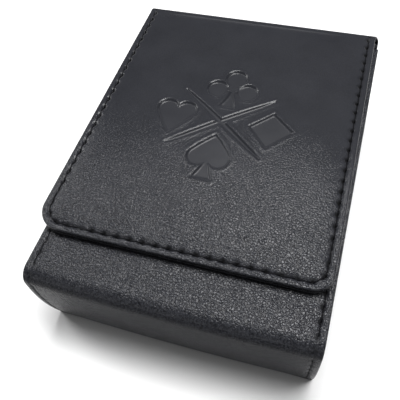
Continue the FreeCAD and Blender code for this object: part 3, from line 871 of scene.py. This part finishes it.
class Nodes:
    """A small writer of shader nodes, for a material or for the world. Sizes are in mm."""

    def __init__(self, name, world=None):
        self.material = world or bpy.data.materials.new(name)
        self.material.use_nodes = True
        self.tree = self.material.node_tree
        self.shader = self.tree.nodes["Background" if world else "Principled BSDF"]
        self.place = self.add("ShaderNodeTexCoord").outputs["Generated" if world else "Object"]

    def add(self, kind, values=None, **settings):
        made = self.tree.nodes.new(kind)
        for key, value in settings.items():
            setattr(made, key, value)
        for key, value in (values or {}).items():
            socket(value, made.inputs[key])
        return made

    def vector_math(self, operation, values, output="Vector"):
        return self.add("ShaderNodeVectorMath", values, operation=operation).outputs[output]

    def noise(self, size, detail=2.0, rough=0.5, at=None, output="Fac"):
        values = {"Vector": at or self.place, "Scale": 1.0 / (size * MM), "Detail": detail,
                  "Roughness": rough}
        return self.add("ShaderNodeTexNoise", values).outputs[output]

    def cells(self, size, feature="F1", at=None):
        values = {"Vector": at or self.place, "Scale": 1.0 / (size * MM), "Randomness": 1.0}
        return self.add("ShaderNodeTexVoronoi", values, feature=feature).outputs["Distance"]

    def math(self, operation, a, b=0.0, c=0.0):
        return self.add("ShaderNodeMath", {0: a, 1: b, 2: c}, operation=operation).outputs[0]

    def scaled(self, value, by):
        return self.math("MULTIPLY", value, by)

    def total(self, a, b):
        return self.math("ADD", a, b)

    def span(self, value, low, high, to_low, to_high):
        values = {"Value": value, "From Min": low, "From Max": high, "To Min": to_low,
                  "To Max": to_high}
        return self.add("ShaderNodeMapRange", values).outputs[0]

    def mix(self, share, a, b):
        made = self.add("ShaderNodeMix", {"Factor": share}, data_type="RGBA")
        socket(a, made.inputs[6])
        socket(b, made.inputs[7])
        return made.outputs[2]

    def warped(self, size, amount):
        """The place on the surface, pushed about by up to half that amount."""
        colour = self.noise(size, output="Color")
        shift = self.vector_math("SUBTRACT", {0: colour, 1: (0.5, 0.5, 0.5)})
        shift = self.vector_math("SCALE", {0: shift, "Scale": amount * MM})
        return self.vector_math("ADD", {0: self.place, 1: shift})

    def mark(self, name):
        return self.add("ShaderNodeAttribute", attribute_name=name).outputs["Fac"]

    def bump(self, height, depth, strength=1.0, normal=None):
        values = {"Height": height, "Distance": depth * MM, "Strength": strength}
        made = self.add("ShaderNodeBump", values)
        if normal:
            socket(normal, made.inputs["Normal"])
        return made.outputs["Normal"]

    def seen(self, weight=1.0):
        """1 for rays that look at the backdrop, also by way of a shiny or clear surface."""
        path = self.add("ShaderNodeLightPath").outputs
        shiny = self.total(path["Is Glossy Ray"], path["Is Transmission Ray"])
        looking = self.math("MULTIPLY_ADD", shiny, weight, path["Is Camera Ray"])
        return self.math("MINIMUM", looking, 1.0)

    def set(self, **values):
        for key, value in values.items():
            socket(value, self.shader.inputs[key.replace("_", " ")])
        return self.material


# Darker and paler black of the leather, between which the grain gets painted shade and painted
# sheen, and the leather its slow random tone.
BLACK_LEATHER = ((0.0075, 0.0079, 0.0100, 1), (0.0305, 0.0318, 0.0376, 1))
SEAM_SHADE_BLACK = (0.0015, 0.0015, 0.002, 1)
GRAIN = 0.45                 # size of the leather's pebbles
GRAIN_DEPTH = 0.155


def leather(name, gloss=0.21, least=0.12):
    """Grained black leather; least is the strength of its grain, and of the painted sheen and shade
    on it, at the flap's far edge.
    """
    n = Nodes(name)
    warped = n.warped(GRAIN * 1.2, GRAIN * 0.9)
    wrinkle = n.noise(GRAIN, 1.0, at=warped)
    crease = n.span(n.cells(GRAIN * 1.5, "DISTANCE_TO_EDGE", warped), 0.0, 0.22, 0.0, 1.0)
    pebble = n.total(n.scaled(wrinkle, 0.8), n.scaled(crease, 0.35))
    pressed, seam_shade = n.mark("pressed"), n.mark("pierced")
    along = n.add("ShaderNodeSeparateXYZ", {0: n.place}).outputs["Y"]
    strong = n.math("MULTIPLY", n.math("SUBTRACT", 1.0, n.scaled(pressed, 0.90)),
                    n.span(along, -0.036, 0.012, 1.0, least))
    slow = n.noise(9.0, 3.0)
    normal = n.bump(n.math("MULTIPLY", pebble, strong), GRAIN_DEPTH, 1.0, n.bump(slow, 0.10, 0.5))

    # Painted light on the grain: the pebble tops are painted paler as a sheen, and the valleys
    # between them darker as shade, less so where the grain is weaker.
    painted_grain_light = n.math("MULTIPLY_ADD", n.span(pebble, 0.35, 0.85, -0.65, 0.65), strong, 0.4)
    shade = n.total(painted_grain_light, n.scaled(slow, 0.4))
    # Painted shade: near-black is mixed in at the needle holes and along the seam's groove.
    colour = n.mix(seam_shade, n.mix(shade, *BLACK_LEATHER), SEAM_SHADE_BLACK)
    valley = n.span(pebble, 0.35, 0.75, 0.08, 0.0)
    rough = n.total(n.span(slow, 0.3, 0.7, 0.14, 0.18), n.math("MULTIPLY", valley, strong))
    rough = n.total(rough, n.scaled(pressed, 0.15))
    rough = n.total(rough, n.scaled(seam_shade, 0.60))
    return n.set(Base_Color=colour, Roughness=rough, Normal=normal, Specular_IOR_Level=gloss)


def suede(name, dark=(0.020, 0.020, 0.023, 1), light=(0.072, 0.072, 0.078, 1)):
    n = Nodes(name)
    fibre = n.noise(0.22, 3.0, 0.7)
    clouds = n.span(n.noise(7.0, 4.0, 0.6), 0.35, 0.65, 0.0, 1.0)
    colour = n.mix(n.total(n.scaled(fibre, 0.6), n.scaled(clouds, 0.3)), dark, light)
    normal = n.bump(fibre, 0.10, 0.9, n.bump(clouds, 0.1, 0.5))
    return n.set(Base_Color=colour, Roughness=0.95, Normal=normal, Specular_IOR_Level=0.2,
                 Sheen_Weight=0.35, Sheen_Roughness=0.5)


def greyboard(name):
    n = Nodes(name)
    fibre = n.noise(0.35, 4.0, 0.7)
    flecks = n.cells(0.8)
    colour = n.mix(n.total(n.scaled(fibre, 0.7), n.scaled(flecks, 0.3)),
                   (0.19, 0.175, 0.15, 1), (0.33, 0.31, 0.275, 1))
    return n.set(Base_Color=colour, Roughness=0.9, Normal=n.bump(fibre, 0.06, 0.7),
                 Specular_IOR_Level=0.25)


def black_board(name):
    n = Nodes(name)
    fibre = n.noise(0.22, 4.0, 0.65)
    clouds = n.noise(5.0, 3.0)
    colour = n.mix(n.total(n.scaled(fibre, 0.6), n.scaled(clouds, 0.4)),
                   (0.017, 0.017, 0.018, 1), (0.036, 0.036, 0.038, 1))
    return n.set(Base_Color=colour, Roughness=n.span(fibre, 0.3, 0.7, 0.62, 0.8),
                 Normal=n.bump(fibre, 0.04, 0.6), Specular_IOR_Level=0.35)


def thread(name):
    n = Nodes(name)
    ply = n.cells(0.2, at=n.warped(0.3, 0.1))
    colour = n.mix(ply, (0.0045, 0.0045, 0.006, 1), (0.002, 0.002, 0.003, 1))
    return n.set(Base_Color=colour, Roughness=0.7, Normal=n.bump(ply, 0.05, 0.8),
                 Specular_IOR_Level=0.1)


def foam(name):
    n = Nodes(name)
    pores = n.cells(0.45)
    colour = n.mix(pores, (0.12, 0.12, 0.125, 1), (0.26, 0.26, 0.265, 1))
    return n.set(Base_Color=colour, Roughness=0.95, Normal=n.bump(pores, 0.15, 0.8),
                 Specular_IOR_Level=0.2)


def nickel(name):
    n = Nodes(name)
    brushed = n.noise(0.25, 3.0)
    colour = n.mix(brushed, (0.56, 0.56, 0.57, 1), (0.68, 0.68, 0.68, 1))
    return n.set(Base_Color=colour, Metallic=1.0, Roughness=n.span(brushed, 0.3, 0.7, 0.22, 0.34),
                 Normal=n.bump(brushed, 0.01, 0.3))


outer_leather = leather("black_grained_leather")
end_leather = leather("black_grained_leather_end", gloss=0.04, least=0.8)
body_leather = leather("black_grained_leather_body", least=0.8)
lining_suede = suede("black_suede")
felt_black = suede("black_felt", (0.020, 0.020, 0.022, 1), (0.045, 0.045, 0.048, 1))
board_grey = greyboard("greyboard")
board_black = black_board("black_board")
thread_black = thread("waxed_thread")
foam_grey = foam("grey_foam")
magnet_metal = nickel("nickel")


def dress(piece, material):
    piece.data.materials.clear()
    piece.data.materials.append(material)


def dress_nodes(names, material):
    for name in names:
        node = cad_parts[name]
        if not node.material_slots:
            node.data.materials.append(material)
        for entry in node.material_slots:
            entry.material = material


for piece, material in ((flap_cover, outer_leather), (hinge_leather, outer_leather),
                        (front_facing, body_leather), (sleeve_strip, body_leather),
                        (flap_seam, thread_black), (front_seam, thread_black),
                        (sleeve_seam, thread_black)):
    dress(piece, material)
for piece in (flap_suede, front_suede, tray_suede, sleeve_suede):
    dress(piece, lining_suede)
dress(stop_pad, felt_black)
dress(padding, foam_grey)

# The closed end below its bend has the leather of lower gloss.
sleeve_strip.data.materials.append(end_leather)
for polygon in sleeve_strip.data.polygons:
    low_down = polygon.center.z < (TOP_Z - 1.2) * MM
    polygon.material_index = int(low_down and polygon.center.y < -30.0 * MM)

dress_nodes(("base_leather", "left_side_leather", "right_side_leather"), body_leather)
dress_nodes(("bottom_board", "top_board", "near_end_board", "left_side_board",
             "right_side_board", "front_board", "flap_board"), board_grey)
dress_nodes(("drawer_bottom_board", "drawer_left_wall", "drawer_right_wall", "drawer_back_wall",
             "drawer_front_wall"), board_black)
dress_nodes(("sleeve_magnets", "flap_magnets"), magnet_metal)

# ---- What each piece rides on, and what it replaces ----

for piece in (sleeve_strip, sleeve_seam, sleeve_suede, stop_pad):
    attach(piece, "sleeve")
for piece in (front_facing, front_seam, front_suede, tray_suede):
    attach(piece, "drawer")
for piece in (flap_cover, flap_seam, flap_suede, padding):
    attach(piece, "flap")
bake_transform(hinge_leather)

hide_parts("sleeve_leather")
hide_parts("sleeve_lining")
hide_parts("drawer_stop")
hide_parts("front_leather")
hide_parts("front_lining")
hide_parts("drawer_lining")
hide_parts("flap_leather")
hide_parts("flap_lining")
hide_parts("flap_foam")

# ---- Floor, light and camera ----

FLOOR_REACH = 4.0            # metres, each way from the box
WHITE = (1, 1, 1, 1)


def white_paper():
    """Pale paper near the box, that fades to a white backdrop for rays that look at it."""
    n = Nodes("white_paper")
    away = n.vector_math("LENGTH", {0: n.place}, "Value")
    backdrop = n.math("MULTIPLY", n.span(away, 0.25, 0.70, 0.0, 1.0), n.seen())
    paper = n.mix(n.noise(40.0), (0.90, 0.90, 0.90, 1), (0.92, 0.92, 0.92, 1))
    return n.set(Base_Color=n.mix(backdrop, paper, (0.0, 0.0, 0.0, 1)), Roughness=0.8,
                 Specular_IOR_Level=0.2, Emission_Color=WHITE, Emission_Strength=backdrop)


def lay_floor():
    mesh = bpy.data.meshes.new("floor")
    corners = [(-1, -1), (1, -1), (1, 1), (-1, 1)]
    mesh.from_pydata([(x * FLOOR_REACH, y * FLOOR_REACH, 0) for x, y in corners], [], [(0, 1, 2, 3)])
    piece = new_object("floor", mesh)
    dress(piece, white_paper())


def light_sky():
    """Grey studio light, stronger overhead, with a white horizon for rays that look at it."""
    world = bpy.data.worlds.new("studio")
    bpy.context.scene.world = world
    n = Nodes("studio", world)
    overhead = n.vector_math("DOT_PRODUCT", {0: n.place, 1: (0.0, 0.25, 0.968)}, "Value")
    ramp = n.add("ShaderNodeValToRGB", {0: n.math("MULTIPLY_ADD", overhead, 0.5, 0.5)})
    levels = [(-1.0, 0.10), (0.0, 0.10), (0.45, 0.10), (0.70, 0.14), (0.88, 0.42), (0.96, 0.45),
              (1.0, 0.45)]
    for i, (height, level) in enumerate(levels):
        at = (height + 1) / 2
        stop = ramp.color_ramp.elements[i] if i < 2 else ramp.color_ramp.elements.new(at)
        stop.position = at
        stop.color = (level, level, level, 1)
    climb = n.add("ShaderNodeSeparateXYZ", {0: n.place}).outputs["Z"]
    horizon = n.span(climb, 0.12, 0.25, 1.0, 0.0)
    n.set(Color=n.mix(n.seen(horizon), ramp.outputs[0], WHITE), Strength=1.0)


def softbox(name, place, width, height, power):
    """Rectangular lamp, in metres and watts, turned to the box."""
    lamp = bpy.data.lights.new(name, "AREA")
    lamp.shape = "RECTANGLE"
    lamp.size, lamp.size_y = width, height
    lamp.energy = power
    piece = new_object(name, lamp)
    piece.location = place
    piece.rotation_mode = "QUATERNION"
    piece.rotation_quaternion = (-Vector(place)).to_track_quat("-Z", "Y")


def set_camera():
    """Camera fitted to the edges of the flap in the photo."""
    data = bpy.data.cameras.new("camera")
    data.sensor_width = 36.0
    data.lens = 43.204752
    data.shift_x, data.shift_y = -0.055, 0.0275
    data.clip_start, data.clip_end = 0.01, 20.0
    camera = new_object("camera", data)
    axes = Matrix(((0.959007, -0.203136, 0.197587),
                   (0.275941, 0.828116, -0.487935),
                   (-0.064508, 0.522456, 0.850223)))
    camera.matrix_world = Matrix.Translation((0.0308613, -0.0824880, 0.1350645)) @ axes.to_4x4()
    bpy.context.scene.camera = camera


lay_floor()
light_sky()
softbox("softbox_top", (0.09, 0.15, 0.72), 0.54, 0.22, 7.3)
softbox("softbox_near", (-0.49, 0.24, 0.65), 0.18, 0.13, 0.6)
softbox("softbox_left", (-0.74, 0.24, 0.46), 0.24, 0.24, 2.0)
set_camera()
bpy.context.scene.view_settings.view_transform = "Standard"
